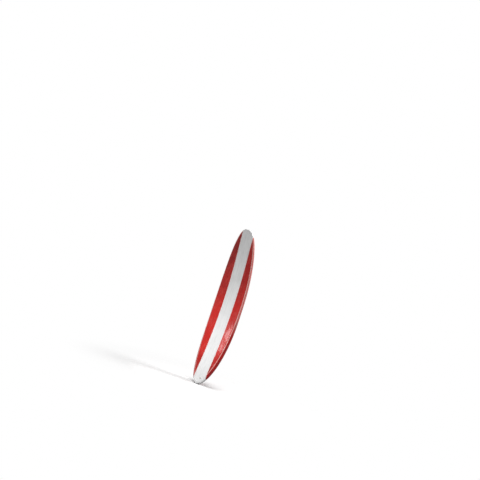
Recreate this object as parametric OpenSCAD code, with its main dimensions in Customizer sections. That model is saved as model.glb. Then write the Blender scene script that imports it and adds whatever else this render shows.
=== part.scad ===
// Longboard surfboard, standing on its tail: two foam halves glued to a wooden stringer, a laminate
// of three deck panels and a wrapped bottom, a raised pinline over the seam, a long centre fin box
// with its sliding fin, two side fin boxes and a leash plug.
// +Z runs from tail to nose, the deck faces -Y and +X is the right rail seen from the deck.
// The origin is the tail tip. All sizes are in millimetres.

/* [Board] */
// Length from tail to nose
board_l = 2743; // [2500:1:3050]
// Greatest width, rail to rail
board_w = 610; // [540:1:640]
// Greatest thickness, deck to bottom
board_t = 95; // [80:1:110]
// Thickness that the nose tapers to
nose_t = 40; // [34:1:60]
// Thickness that the tail tapers to
tail_t = 64; // [34:1:80]
// Lift of the nose above the flat of the bottom
nose_rocker = 172; // [90:1:200]
// Lift of the tail above the flat of the bottom
tail_rocker = 168; // [80:1:180]
// Length over which the nose and tail edges round off
tip_round = 60; // [45:1:90]
// Fullness of the outline towards the nose
nose_full = 2.15; // [1.8:0.05:3]
// Bluntness of the nose's tip, 2 being an ellipse's
nose_blunt = 2.45; // [2:0.05:3]
// Fullness of the outline towards the tail
tail_full = 2.6; // [2:0.05:3]
// Squareness of the rail on the deck side
deck_square = 3.4; // [2.6:0.1:4.5]
// Squareness of the rail on the bottom side, from the nose to the middle
bottom_square = 3.5; // [3:0.1:5]
// Squareness of the harder bottom edge at the tail
tail_square = 9; // [4:0.1:12]
// Height of the rail's widest line as a share of the thickness, from the nose to the middle
rail_apex = 0.6; // [0.34:0.01:0.65]
// The same share at the tail, where the rail is turned down
tail_apex = 0.3; // [0.26:0.01:0.55]

/* [Laminate] */
// Thickness of the deck panels
deck_skin = 1.2; // [0.8:0.1:2.5]
// Thickness of the bottom laminate
hull_skin = 1; // [0.8:0.1:2.5]
// Distance of the deck seam from the board's outline at the nose
nose_lap = 11; // [10:1:40]
// Distance of the deck seam from the board's outline at the tail
tail_lap = 48; // [10:1:60]
// Width of the centre stripe
stripe_w = 241; // [120:1:300]
// How far the stripe lies off the middle, towards the right rail
stripe_shift = 22; // [0:1:30]
// Width that a side panel keeps where the stripe runs off into the seam
panel_end = 3; // [2:0.5:6]
// Width of the pinline over the deck seam
pinline_w = 12; // [6:1:18]
// Height of the pinline's bead
pinline_t = 0.8; // [0.4:0.1:1.5]
// Height of the bead at its two edges
pinline_edge = 0.3; // [0.1:0.05:0.4]
// Thickness of the resin under the pinline
pinline_seat = 0.4; // [0.3:0.05:0.8]
// Thickness of the glue line between neighbouring pieces
bond = 0.15; // [0.1:0.05:0.3]

/* [Stringer] */
// Thickness of the wooden stringer
stringer_w = 6.4; // [3:0.1:12]

/* [Fin box] */
// Length of the centre fin box
box_l = 273; // [250:1:330]
// Width of the centre fin box
box_w = 27; // [24:1:36]
// Depth of the centre fin box
box_d = 24; // [22:1:30]
// Distance of the box's middle from the tail
box_from_tail = 335; // [300:1:420]
// Width of the slot that takes the fin's tab
slot_w = 9.6; // [7:0.1:12]
// Depth of the slot
slot_d = 19.5; // [18:0.1:21]
// Thickness of the end walls of the slot
slot_end = 11; // [8:1:20]
// Thickness of the lips above the side grooves
lip_t = 5; // [4:0.1:6]
// Width across the side grooves
groove_w = 13.8; // [13.4:0.1:17]
// Height of the side grooves
groove_h = 7; // [6.9:0.1:8]
// Length of the opening in the lips that lets the pin and plate in
drop_l = 17; // [16:1:22]

/* [Box flanges] */
// How far a box's flange stands out round its body
flange_edge = 4; // [2:0.5:8]
// Thickness of a box's flange
flange_t = 2; // [1.5:0.1:3]

/* [Fin] */
// Depth of the fin below the bottom
fin_h = 229; // [150:1:260]
// Length of the fin's root
fin_base = 178; // [140:1:185]
// Thickness of the fin at its root
fin_t = 12.4; // [12:0.1:16]
// How far the tip sweeps back
fin_sweep = 110; // [60:1:130]
// Share of the chord that is lost towards the tip
fin_taper = 0.42; // [0.2:0.01:0.6]
// Share of the thickness that is lost towards the tip
fin_thinning = 0.65; // [0.3:0.01:0.8]
// Length of the tab in the slot
tab_l = 165; // [120:1:170]
// Height of the tab
tab_h = 16.5; // [14:0.1:17.5]
// Length of the screw lug in front of the root
lug_l = 22; // [20:1:26]
// Diameter of the cross pin
pin_d = 6.2; // [5:0.1:6.4]
// Length of the cross pin
pin_l = 13; // [11:0.1:13.2]
// Distance of the cross pin from the tab's rear end
pin_from_end = 9.5; // [7:0.1:14]

/* [Fin screw] */
// Shank diameter of the fin screw
screw_d = 4.2; // [3.5:0.1:4.6]
// Length of the screw under its head
screw_l = 17; // [12:0.5:18]
// Diameter of the screw's head
head_d = 8.4; // [7:0.1:9]
// Height of the screw's head
head_h = 2.8; // [2.2:0.1:4]
// Length of each arm of the cross recess, end to end
recess_l = 5; // [4:0.1:6]
// Width of the cross recess
recess_w = 1.4; // [1:0.1:2]
// Depth of the cross recess
recess_d = 1.4; // [0.8:0.1:2]
// Length of the plate nut
plate_l = 14; // [10:0.5:15]
// Width of the plate nut
plate_w = 13.2; // [11:0.1:13.3]
// Thickness of the plate nut
plate_t = 3; // [2:0.1:4]

/* [Side fin boxes] */
// Length of a side fin box
side_l = 126; // [120:1:150]
// Width of a side fin box
side_w = 21; // [18:0.5:28]
// Depth of a side fin box
side_d = 17; // [15:0.5:22]
// Distance of a side box's middle from the tail
side_from_tail = 430; // [400:1:520]
// Distance of a side box from the stringer's middle
side_from_centre = 140; // [120:1:150]
// Length of the side slot
side_slot_l = 90; // [70:1:92]
// Width of the side slot
side_slot_w = 6.8; // [6.2:0.1:9]
// Depth of the side slot
side_slot_d = 13; // [10:0.5:14]
// Thickness of the wall behind the side slot
side_end = 7; // [4:0.5:10]
// Depth of a side box's face under the bottom
side_sink = 0.3; // [0.2:0.1:1]
// Diameter of the threaded screw hole
thread_d = 4.8; // [4:0.1:6]
// Depth of the threaded screw hole
thread_l = 12; // [8:0.5:14]

/* [Leash plug] */
// Diameter of the leash cup's body
cup_d = 31; // [28:0.5:40]
// Depth of the leash cup
cup_h = 24; // [20:0.5:28]
// Diameter of the cup's hollow
cup_bore = 24.6; // [22:0.1:26]
// Depth of the cup's hollow
cup_hollow = 19; // [15:0.5:19]
// Distance of the leash cup from the tail
cup_from_tail = 112; // [100:1:150]
// Distance of the leash cup from the stringer's middle
cup_from_centre = 48; // [40:1:60]
// Diameter of the leash bar
bar_d = 5; // [4:0.1:6]
// Depth of the leash bar's middle under the rim
bar_depth = 6; // [5:0.1:8]
// How far each end of the bar goes into the cup's wall
bar_seat = 2; // [1:0.1:2.5]

/* [Hidden] */

// Round pieces are drawn with this many sides
$fn = 64;
// Clearance between pieces that slide or turn on each other
run = 0.3;
// Radial clearance of the screw's thread in its plate, and of a pin pressed into its hole
thread_fit = 0.05;
press_fit = 0.02;
// Overlap that makes two forms one solid
joinery = 1;
// Reach of a cutting form past what it cuts
clear = 30;

// Stations along the board, bunched towards the rounded ends
ribs = 40;
// Half the angle that the flat of each tip takes out of the outline
tip_angle = 2.5;
// Steps across the stripe, a side panel, the upper rail and the lower rail
stripe_steps = 6;
panel_steps = 5;
upper_steps = 5;
lower_steps = 5;
// Distances from the outline to the turn of the bottom and to its flat middle
turn_w = 70;
flat_w = 160;
// How soon the rocker lifts, the thickness tapers and the lap grows
rocker_power = 2.2;
foil_power = 3.5;
lap_power = 3;

// Layers of the board, each as [in from the outline, down from the deck, up from the bottom]
surface = [0, 0, 0];
inside = [hull_skin, deck_skin, hull_skin];
core = [hull_skin + bond, deck_skin + bond, hull_skin + bond];

// Outline: the share of the half width at a course of 1 (tail) to -1 (nose)
function spread(c) = c > 0 ? sqrt(1 - pow(c, tail_full)) : pow(1 - pow(-c, nose_full), 1 / nose_blunt);
function rib_course(j) = cos(tip_angle + (180 - 2 * tip_angle) * j / ribs);
// Point [x, z] of the outline drawn in by d, at rib j
function plan(j, d) = [
    (board_w / 2 - d) * spread(rib_course(j)),
    d + (board_l - 2 * d) * (1 - rib_course(j) / cos(tip_angle)) / 2];
// Distance of the deck seam from the outline, which grows towards the tail, and the seam itself
function lap(j) = mix(nose_lap, tail_lap, pow((1 + rib_course(j)) / 2, lap_power));
function seam_at(j) = plan(j, lap(j));
function half_w(z, d) = (board_w / 2 - d) * spread(cos(tip_angle) * (1 - 2 * (z - d) / (board_l - 2 * d)));

// Side view: rocker, thickness and the line of the rail's widest point
function course(z) = 1 - 2 * z / board_l;
function rocker(z) = (course(z) > 0 ? tail_rocker : nose_rocker) * pow(abs(course(z)), rocker_power);
function thick(z) = mix(board_t, course(z) > 0 ? tail_t : nose_t, pow(abs(course(z)), foil_power));
// Share of the way from the middle of the board to the tail, over which the rail turns down
function aft(z) = max(0, min(1, course(z)));
function apex(z) = mix(rail_apex, tail_apex, aft(z));
function rail_y(z) = tail_rocker + tail_apex * tail_t - rocker(z) - apex(z) * thick(z);

// Cross-section: a rounded square from the rail to the middle, fading over the rounded tips
function dome(r, n) = pow(1 - pow(max(0, min(1, r)), n), 1 / n);
function tip_fade(z, d, n) = dome(1 - min(z - d, board_l - d - z) / tip_round, n);
function deck_y(x, z, layer) = rail_y(z) - ((1 - apex(z)) * thick(z) - layer[1])
    * dome(abs(x) / half_w(z, layer[0]), deck_square) * tip_fade(z, layer[0], deck_square);
function bottom_y(x, z, layer) = rail_y(z) + (apex(z) * thick(z) - layer[2])
    * dome(abs(x) / half_w(z, layer[0]), mix(bottom_square, tail_square, aft(z)))
    * tip_fade(z, layer[0], bottom_square);
function on_deck(p, layer) = [p[0], deck_y(p[0], p[1], layer), p[1]];
function on_bottom(p, layer) = [p[0], bottom_y(p[0], p[1], layer), p[1]];
function deck_slope(x, z) = atan((deck_y(x, z + 1, surface) - deck_y(x, z - 1, surface)) / 2);
function bottom_slope(x, z) = atan((bottom_y(x, z + 1, surface) - bottom_y(x, z - 1, surface)) / 2);

function mix(a, b, k) = a + (b - a) * k;
function mirrored(points) = [for (p = points) [-p[0], p[1], p[2]]];
function reversed(list) = [for (i = [len(list) - 1:-1:0]) list[i]];

// One rib of the rail, from the deck seam round the rail to the flat of the bottom
function rib(j, layer) = let (
    seam = seam_at(j),
    edge = plan(j, layer[0]),
    turn = plan(j, turn_w))
    concat(
        [for (k = [0:upper_steps - 1]) on_deck(mix(seam, edge, sin(90 * k / upper_steps)), layer)],
        [[edge[0], rail_y(edge[1]), edge[1]]],
        [for (k = [1:lower_steps]) on_bottom(mix(edge, turn, 1 - cos(90 * k / lower_steps)), layer)],
        [on_bottom(plan(j, flat_w), layer)]);
rib_n = upper_steps + lower_steps + 2;
// All ribs round the board: up the right rail and down the left one
round_n = 2 * (ribs + 1);
function rib_ring(layer) = concat(
    [for (j = [0:ribs]) rib(j, layer)],
    [for (j = [ribs:-1:0]) mirrored(rib(j, layer))]);

// Distance from the middle to the stripe's edge on one side, where the deck seam is edge_x from the middle
function stripe_edge(side) = stripe_w / 2 + side * stripe_shift;
function stripe_x(side, edge_x) = min(stripe_edge(side), edge_x - panel_end);
// Ribs beside which the stripe leaves room for a side panel
function side_ribs(side) = [for (j = [1:ribs - 1]) if (seam_at(j)[0] > stripe_edge(side) + panel_end) j];
// Lines across the deck at rib j, from the right seam to the left one
function deck_lines(j) = let (
    edge_x = seam_at(j)[0],
    right = stripe_x(1, edge_x),
    left = -stripe_x(-1, edge_x))
    concat(
        [for (i = [0:panel_steps]) mix(edge_x, right, i / panel_steps)],
        [for (i = [1:stripe_steps]) mix(right, left, i / stripe_steps)],
        [for (i = [1:panel_steps]) mix(left, -edge_x, i / panel_steps)]);

function quad(a, b, c, d) = [[a, b, c], [a, c, d]];
// The same quad split the other way on the left, so that the deck's halves mirror each other
function deck_quad(x, a, b, c, d) = x < 0 ? quad(b, c, d, a) : quad(a, b, c, d);
function flipped(faces) = [for (f = faces) reversed(f)];
function shifted(faces, by) = [for (f = faces) [for (i = f) i + by]];
function joined(lists) = [for (list = lists) for (item = list) item];

// Faces of a ring of ribs with n points each, and of the flat strip that closes the bottom
function rail_faces() = joined([for (i = [0:round_n - 1], k = [0:rib_n - 2])
    let (a = i * rib_n + k, b = ((i + 1) % round_n) * rib_n + k)
    quad(a, b, b + 1, a + 1)]);
function floor_faces() = joined([for (j = [0:ribs - 1])
    let (k = rib_n - 1, right = j * rib_n + k, left = (round_n - 1 - j) * rib_n + k)
    quad(right, right + rib_n, left - rib_n, left)]);

// Solid through rings of points, with the same number of points on each, closed at both ends
module loft(rings) {
    n = len(rings[0]);
    last = len(rings) - 1;
    sides = joined([for (j = [0:last - 1], i = [0:n - 1])
        let (a = j * n, b = (i + 1) % n)
        deck_quad(rings[j][i][0] + rings[j][b][0], a + i, a + b, a + n + b, a + n + i)]);
    // The caps are ladders between the two halves of the ring
    cap = joined([for (i = [0:n / 2 - 2]) quad(i, n - 1 - i, n - 2 - i, i + 1)]);
    polyhedron(joined(rings), concat(sides, cap, shifted(flipped(cap), last * n)));
}

// Body of the foam core before it is cut at the stringer
module core_body() {
    across = stripe_steps + 2 * panel_steps - 1;
    ring = joined(rib_ring(core));
    inner_rows = [for (j = [1:ribs - 1])
        let (xs = deck_lines(j))
        [for (i = [1:across]) on_deck([xs[i], seam_at(j)[1]], core)]];
    start = round_n * rib_n;
    function row(j) = concat([j * rib_n], [for (i = [0:across - 1]) start + (j - 1) * across + i],
        [(round_n - 1 - j) * rib_n]);
    function tip_fan(right, left, list) = let (mid = (len(list) - 1) / 2) concat(
        [for (i = [0:len(list) - 2]) [i < mid ? right : left, list[i + 1], list[i]]],
        [[right, left, list[mid]]]);
    deck = joined([for (j = [1:ribs - 2], i = [0:across])
        let (a = row(j), b = row(j + 1), xs = deck_lines(j))
        deck_quad(xs[i] + xs[i + 1], a[i + 1], b[i + 1], b[i], a[i])]);
    tail = tip_fan(0, (round_n - 1) * rib_n, row(1));
    nose = tip_fan(ribs * rib_n, (ribs + 1) * rib_n, row(ribs - 1));
    polyhedron(concat(ring, joined(inner_rows)),
        concat(rail_faces(), floor_faces(), deck, tail, flipped(nose)));
}

// Half of the core on one side of the stringer, with room for everything let into it
module foam_half(side) {
    difference() {
        intersection() {
            core_body();
            translate([side > 0 ? stringer_w / 2 + bond : -board_w, -board_l / 2, -clear])
                cube([board_w - stringer_w / 2 - bond, board_l, board_l + 2 * clear]);
        }
        at_fin_box()
            box_pocket(box_l, box_w, box_d);
        at_side_box(side)
            box_pocket(side_l, side_w, side_d);
        at_leash_cup()
            cup_pocket();
    }
}

module foam_blank_left() {
    color("ivory")
        foam_half(-1);
}

module foam_blank_right() {
    color("ivory")
        foam_half(1);
}

// Side view of the core on the middle line, cut from one board of wood
module stringer() {
    tail = rib(0, core);
    nose = rib(ribs, core);
    deck = [for (j = [1:ribs - 1]) on_deck([0, seam_at(j)[1]], core)];
    keel = [for (j = [1:ribs - 1]) on_bottom(plan(j, flat_w), core)];
    outline = concat(reversed(tail), deck, nose, reversed(keel));
    color("burlywood")
        difference() {
            translate([-stringer_w / 2, 0, 0])
                rotate([90, 0, 90])
                    linear_extrude(stringer_w)
                        polygon([for (p = outline) [p[1], p[2]]]);
            at_fin_box()
                box_pocket(box_l, box_w, box_d);
        }
}

// One strip of deck laminate: lines gives its points across a rib from the seam's distance
module deck_strip(lines, first, last) {
    loft([for (j = [first:last])
        let (p = plan(j, lap(j) + bond), xs = lines(p[0]))
        concat(
            [for (x = xs) on_deck([x, p[1]], inside)],
            [for (x = reversed(xs)) on_deck([x, p[1]], surface)])]);
}

module deck_side_panel(side) {
    beside = side_ribs(side);
    lines = function (edge_x) let (s = stripe_x(side, edge_x) + bond / 2)
        [for (i = [0:panel_steps]) mix(side > 0 ? s : -edge_x, side > 0 ? edge_x : -s, i / panel_steps)];
    // The panel ends one rib past those, where the stripe has run off into the seam
    deck_strip(lines, beside[0] - 1, beside[len(beside) - 1] + 1);
}

module deck_panel_left() {
    color("firebrick")
        deck_side_panel(-1);
}

module deck_panel_right() {
    color("firebrick")
        deck_side_panel(1);
}

module deck_panel_centre() {
    lines = function (edge_x) let (
        left = bond / 2 - stripe_x(-1, edge_x),
        right = stripe_x(1, edge_x) - bond / 2)
        [for (i = [0:stripe_steps]) mix(left, right, i / stripe_steps)];
    color("whitesmoke")
        difference() {
            deck_strip(lines, 0, ribs);
            at_leash_cup()
                cup_rim_cut();
        }
}

// The bottom laminate wraps the rails up to the deck seam
module bottom_laminate() {
    outer = joined(rib_ring(surface));
    inner = joined(rib_ring(inside));
    skin = concat(rail_faces(), floor_faces());
    seam = joined([for (i = [0:round_n - 1])
        let (a = i * rib_n, b = ((i + 1) % round_n) * rib_n)
        quad(a, a + len(outer), b + len(outer), b)]);
    color("maroon")
        difference() {
            polyhedron(concat(outer, inner), concat(skin, shifted(flipped(skin), len(outer)), seam));
            at_fin_box()
                box_rim_cut(box_l, box_w);
            for (side = [-1, 1])
                at_side_box(side)
                    box_rim_cut(side_l, side_w);
        }
}

// A resin bead over the seam, thickest at its middle
module pinline() {
    spots = [pinline_w / 2, 0, -pinline_w / 2];
    bead = [pinline_edge, pinline_t, pinline_edge];
    function lift(p, by) = on_deck(p, surface) - [0, pinline_seat + by, 0];
    function bead_ring(j) = concat(
        [for (i = [0:2]) lift(plan(j, lap(j) + spots[i]), 0)],
        [for (i = [2:-1:0]) lift(plan(j, lap(j) + spots[i]), bead[i])]);
    rings = concat([for (j = [0:ribs]) bead_ring(j)], [for (j = [ribs:-1:0]) mirrored(bead_ring(j))]);
    n = len(rings[0]);
    color("pink")
        polyhedron(joined(rings), joined([for (j = [0:round_n - 1], i = [0:n - 1])
            let (a = j * n, c = ((j + 1) % round_n) * n, b = (i + 1) % n)
            quad(a + i, a + b, c + b, c + i)]));
}

// Frames of the pieces let into the board: +Y out of the bottom, or -Y out of the deck
module at_fin_box() {
    // The flat box meets the curved bottom at its two ends
    low = box_from_tail - box_l / 2;
    high = box_from_tail + box_l / 2;
    low_y = bottom_y(0, low, surface);
    high_y = bottom_y(0, high, surface);
    translate([0, (low_y + high_y) / 2, box_from_tail])
        rotate([-atan((high_y - low_y) / (high - low)), 0, 0])
            children();
}

module at_side_box(side) {
    x = side * side_from_centre;
    translate([x, bottom_y(x, side_from_tail, surface) - side_sink, side_from_tail])
        rotate([-bottom_slope(x, side_from_tail), 0, 0])
            children();
}

module at_leash_cup() {
    translate([cup_from_centre, deck_y(cup_from_centre, cup_from_tail, surface), cup_from_tail])
        rotate([-deck_slope(cup_from_centre, cup_from_tail), 0, 0])
            children();
}

// A bar with round ends along Z, from y = low to y = high
module round_bar(l, w, low, high) {
    translate([0, high, 0])
        rotate([90, 0, 0])
            linear_extrude(high - low) {
                square([w, l - w], center = true);
                for (end = [-1, 1])
                    translate([0, end * (l - w) / 2])
                        circle(d = w);
            }
}

// A drilled or turned form along Y
module turned(d, low, high) {
    translate([0, high, 0])
        rotate([90, 0, 0])
            cylinder(d = d, h = high - low);
}

module box_body(l, w, d) {
    round_bar(l, w, -d, 0);
    round_bar(l + 2 * flange_edge, w + 2 * flange_edge, -flange_t, 0);
}

module box_pocket(l, w, d) {
    round_bar(l + 2 * bond, w + 2 * bond, -d - bond, clear);
    round_bar(l + 2 * (flange_edge + bond), w + 2 * (flange_edge + bond), -flange_t - bond, clear);
}

module box_rim_cut(l, w) {
    round_bar(l + 2 * (flange_edge + bond), w + 2 * (flange_edge + bond), -clear, clear);
}

module cup_pocket() {
    turned(cup_d + 2 * bond, -clear, cup_h + bond);
    turned(cup_d + 2 * (flange_edge + bond), -clear, flange_t + bond);
}

module cup_rim_cut() {
    turned(cup_d + 2 * (flange_edge + bond), -clear, clear);
}

// Long channel whose lips hold the fin's pin and plate in two side grooves
slot_l = box_l - 2 * slot_end;
module fin_box() {
    color("white")
        at_fin_box()
            difference() {
                box_body(box_l, box_w, box_d);
                translate([-slot_w / 2, -slot_d, -slot_l / 2])
                    cube([slot_w, slot_d + joinery, slot_l]);
                translate([-groove_w / 2, -lip_t - groove_h, -slot_l / 2])
                    cube([groove_w, groove_h, slot_l]);
                // The pin and plate drop in through this gap in the lips
                translate([-groove_w / 2, -lip_t - joinery, -drop_l / 2])
                    cube([groove_w, lip_t + 2 * joinery, drop_l]);
            }
}

// The fin's own frame: its root's middle, where tab and lug share the slot's length evenly
fin_shift = (tab_l / 2 - fin_base / 2 - lug_l) / 2;
lug_z = fin_base / 2 + lug_l / 2;
pin_z = -tab_l / 2 + pin_from_end;
pin_y = -lip_t - groove_h / 2;
module at_fin() {
    at_fin_box()
        translate([0, 0, fin_shift])
            children();
}

// Blade sections: chord, sweep and foil at a share q of the depth, up to a small flat at the tip
fin_stations = 12;
foil_steps = 9;
fin_tip = 0.998;
tip_power = 6;
// Powers that move the thickest part of the foil forward and fill its ends
foil_forward = 0.62;
foil_full = 0.8;
function chord(q) = fin_base * (1 - fin_taper * q) * sqrt(1 - pow(q, tip_power));
function foil(a) = pow(sin(180 * pow(a, foil_forward)), foil_full);
function blade_ring(q) = let (
    c = chord(q),
    half = fin_t / 2 * (1 - fin_thinning * q),
    mid = -fin_sweep * q * q)
    [for (side = [1, -1], i = side > 0 ? [0:foil_steps] : [foil_steps - 1:-1:1])
        let (a = (1 - cos(180 * i / foil_steps)) / 2)
        [side * half * foil(a), run + fin_h * q, mid + c * (0.5 - a)]];
module fin_blade() {
    rings = [for (k = [0:fin_stations]) blade_ring(fin_tip * sin(90 * k / fin_stations))];
    n = len(rings[0]);
    last = fin_stations * n;
    sides = joined([for (j = [0:fin_stations - 1], i = [0:n - 1])
        let (a = j * n, b = (i + 1) % n)
        quad(a + i, a + n + i, a + n + b, a + b)]);
    // Each end is closed by a ladder from the leading to the trailing edge
    cap = concat([[0, 1, n - 1]],
        joined([for (i = [1:foil_steps - 2]) quad(i, i + 1, n - i - 1, n - i)]),
        [[foil_steps - 1, foil_steps, foil_steps + 1]]);
    polyhedron(joined(rings), concat(sides, cap, shifted(flipped(cap), last)));
}

module centre_fin() {
    tab_w = slot_w - 2 * run;
    color("black")
        at_fin()
            difference() {
                union() {
                    fin_blade();
                    translate([-tab_w / 2, -tab_h, -tab_l / 2])
                        cube([tab_w, tab_h + run + joinery, tab_l]);
                    translate([-tab_w / 2, -lip_t + run, 0])
                        cube([tab_w, lip_t - run, lug_z + lug_l / 2]);
                }
                translate([0, pin_y, pin_z])
                    rotate([0, 90, 0])
                        cylinder(d = pin_d + 2 * press_fit, h = clear, center = true);
                translate([0, 0, lug_z])
                    turned(screw_d + 2 * run, -clear, clear);
            }
}

module fin_cross_pin() {
    color("goldenrod")
        at_fin()
            translate([0, pin_y, pin_z])
                rotate([0, 90, 0])
                    cylinder(d = pin_d, h = pin_l, center = true);
}

module fin_plate_nut() {
    color("silver")
        at_fin()
            translate([0, 0, lug_z])
                difference() {
                    translate([-plate_w / 2, -lip_t - run - plate_t, -plate_l / 2])
                        cube([plate_w, plate_t, plate_l]);
                    turned(screw_d + 2 * thread_fit, -clear, clear);
                }
}

// Pan head with a cross recess, seated on the fin's lug
module fin_screw() {
    color("silver")
        at_fin()
            translate([0, run, lug_z])
                difference() {
                    union() {
                        turned(head_d, 0, head_h);
                        turned(screw_d, -screw_l, joinery);
                    }
                    for (turn = [0, 90])
                        rotate([0, turn, 0])
                            translate([-recess_l / 2, head_h - recess_d, -recess_w / 2])
                                cube([recess_l, head_h, recess_w]);
                }
}

// Short box with an open slot for a side fin and a threaded hole ahead of it for its screw
side_slot_z = -side_l / 2 + side_end + side_slot_l / 2;
thread_z = (side_slot_z + side_slot_l / 2 + side_l / 2) / 2;
module side_fin_box(side) {
    at_side_box(side)
        difference() {
            box_body(side_l, side_w, side_d);
            translate([0, 0, side_slot_z])
                round_bar(side_slot_l, side_slot_w, -side_slot_d, joinery);
            translate([0, 0, thread_z])
                turned(thread_d, -thread_l, joinery);
        }
}

module side_fin_box_left() {
    color("white")
        side_fin_box(-1);
}

module side_fin_box_right() {
    color("white")
        side_fin_box(1);
}

// Cup let into the deck, with a bar across it that a leash string is looped round
bar_l = cup_bore + 2 * bar_seat;
module leash_cup() {
    color("white")
        at_leash_cup()
            difference() {
                union() {
                    turned(cup_d, 0, cup_h);
                    turned(cup_d + 2 * flange_edge, 0, flange_t);
                }
                turned(cup_bore, -joinery, cup_hollow);
                translate([0, bar_depth, 0])
                    rotate([0, 90, 0])
                        cylinder(d = bar_d + 2 * press_fit, h = bar_l + 2 * press_fit, center = true);
            }
}

module leash_bar() {
    color("silver")
        at_leash_cup()
            translate([0, bar_depth, 0])
                rotate([0, 90, 0])
                    cylinder(d = bar_d, h = bar_l, center = true);
}

foam_blank_left();
foam_blank_right();
stringer();
deck_panel_left();
deck_panel_centre();
deck_panel_right();
bottom_laminate();
pinline();
fin_box();
centre_fin();
fin_cross_pin();
fin_plate_nut();
fin_screw();
side_fin_box_left();
side_fin_box_right();
leash_cup();
leash_bar();
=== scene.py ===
"""Looks of a longboard surfboard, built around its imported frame.

Lengths are in metres in the frame's own axes: +Z runs from tail to nose, the deck faces -Y, +X is
the right rail seen from the deck, and the origin is the tip of the tail. Skins, fin and screw
repeat the frame's formulas at a finer step. Core, boxes and leash plug keep their solids.
"""

import math

import bmesh
import bpy
import numpy as np
from bpy.props import FloatProperty, FloatVectorProperty, PointerProperty
from mathutils import Matrix, Vector


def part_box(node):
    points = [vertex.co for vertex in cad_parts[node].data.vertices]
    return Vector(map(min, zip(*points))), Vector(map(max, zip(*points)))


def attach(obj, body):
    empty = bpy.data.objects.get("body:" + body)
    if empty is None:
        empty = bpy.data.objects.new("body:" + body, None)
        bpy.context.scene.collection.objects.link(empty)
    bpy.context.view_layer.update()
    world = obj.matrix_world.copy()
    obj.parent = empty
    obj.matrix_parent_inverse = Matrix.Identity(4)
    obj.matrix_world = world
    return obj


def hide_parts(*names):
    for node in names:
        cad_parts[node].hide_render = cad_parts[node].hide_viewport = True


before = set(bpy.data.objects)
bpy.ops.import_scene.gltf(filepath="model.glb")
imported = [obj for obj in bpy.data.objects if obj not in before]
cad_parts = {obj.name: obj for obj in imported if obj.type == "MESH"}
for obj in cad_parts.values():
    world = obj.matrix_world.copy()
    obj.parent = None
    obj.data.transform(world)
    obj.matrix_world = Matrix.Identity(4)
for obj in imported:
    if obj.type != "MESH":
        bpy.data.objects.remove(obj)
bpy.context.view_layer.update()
HULL_LOW, HULL_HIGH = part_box("bottom_laminate")

bl_info = {
    "name": "Longboard surfboard",
    "version": (1, 0, 0),
    "blender": (4, 5, 0),
    "location": "3D View > Sidebar > Longboard",
    "description": "Skins, fin, fittings and finishes of a longboard on its packed frame",
    "category": "Object",
}

# Angle that each tip's flat takes out of the outline; how soon rocker, thickness and lap change
TIP = math.radians(2.5)
ROCKER_POWER = 2.2
FOIL_POWER = 3.5
LAP_POWER = 3
# Steps along the board, round the rail, across stripe, panel and bead
RIBS = 181
UPPER_STEPS = 12
LOWER_STEPS = 28
STRIPE_STEPS = 33
PANEL_STEPS = 17
BEAD_STEPS = 9
# Samples that find a side panel's pointed ends, and the width of those ends
SEAM_SAMPLES = 4001
PANEL_END = 0.0004
# Half the span over which the slope under a fitting is taken
SLOPE_STEP = 0.001
# Fin: sections, points along one face of its foil, forms of its tip and its foil
FIN_SECTIONS = 44
FOIL_POINTS = 30
FIN_TIP = 0.998
FIN_TIP_POWER = 6
FOIL_FORWARD = 0.62
FOIL_FULL = 0.8
# Angles round a turned piece; points round each end of a stadium and over the screw's head
SPIN = np.linspace(0, 2 * math.pi, 48, endpoint=False)
END_POINTS = 20
DOME_POINTS = 10
# Clearance of sliding pieces, reach of a cutting form, softening of the tab
RUN = 0.0003
CLEAR = 0.03
TAB_SOFT = 0.0005
# Fin screw: pitch and depth of its thread, chamfer, plain neck, edge and bevel of its head
PITCH = 0.0007
THREAD = 0.0003
CHAMFER = 0.0008
NECK = 0.002
HEAD_EDGE = 0.0009
BEVEL = 0.0002
# Resin seals: height over the skin, crown, depth; reach from a flange's edge, with the steps across
SEAL_PROUD = 0.00008
SEAL_CROWN = 0.0004
SEAL_DEPTH = 0.0008
BOX_SEAL = (-0.002, 0.0025, 7)
CUP_SEAL = (-0.0015, 0.002, 6)
# Distance under which points are joined, length of a sliver, angle of an edge that stays sharp
WELD = 1e-6
SLIVER = 1e-7
CREASE = math.radians(38)
# Side of the square picture in pixels, and the camera's sensor in millimetres
PICTURE = 480
SENSOR = 36


def setting(kind, **fixed):
    """Maker of one kind of property from a name, a description and a default."""
    def make(name, description, default):
        return kind(name=name, description=description, default=default, **fixed)
    return make


length = setting(FloatProperty, min=0, unit="LENGTH", precision=4)
number = setting(FloatProperty, min=0)
angle = setting(FloatProperty, subtype="ANGLE")
colour = setting(FloatVectorProperty, size=3, min=0, max=1, subtype="COLOR")


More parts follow.
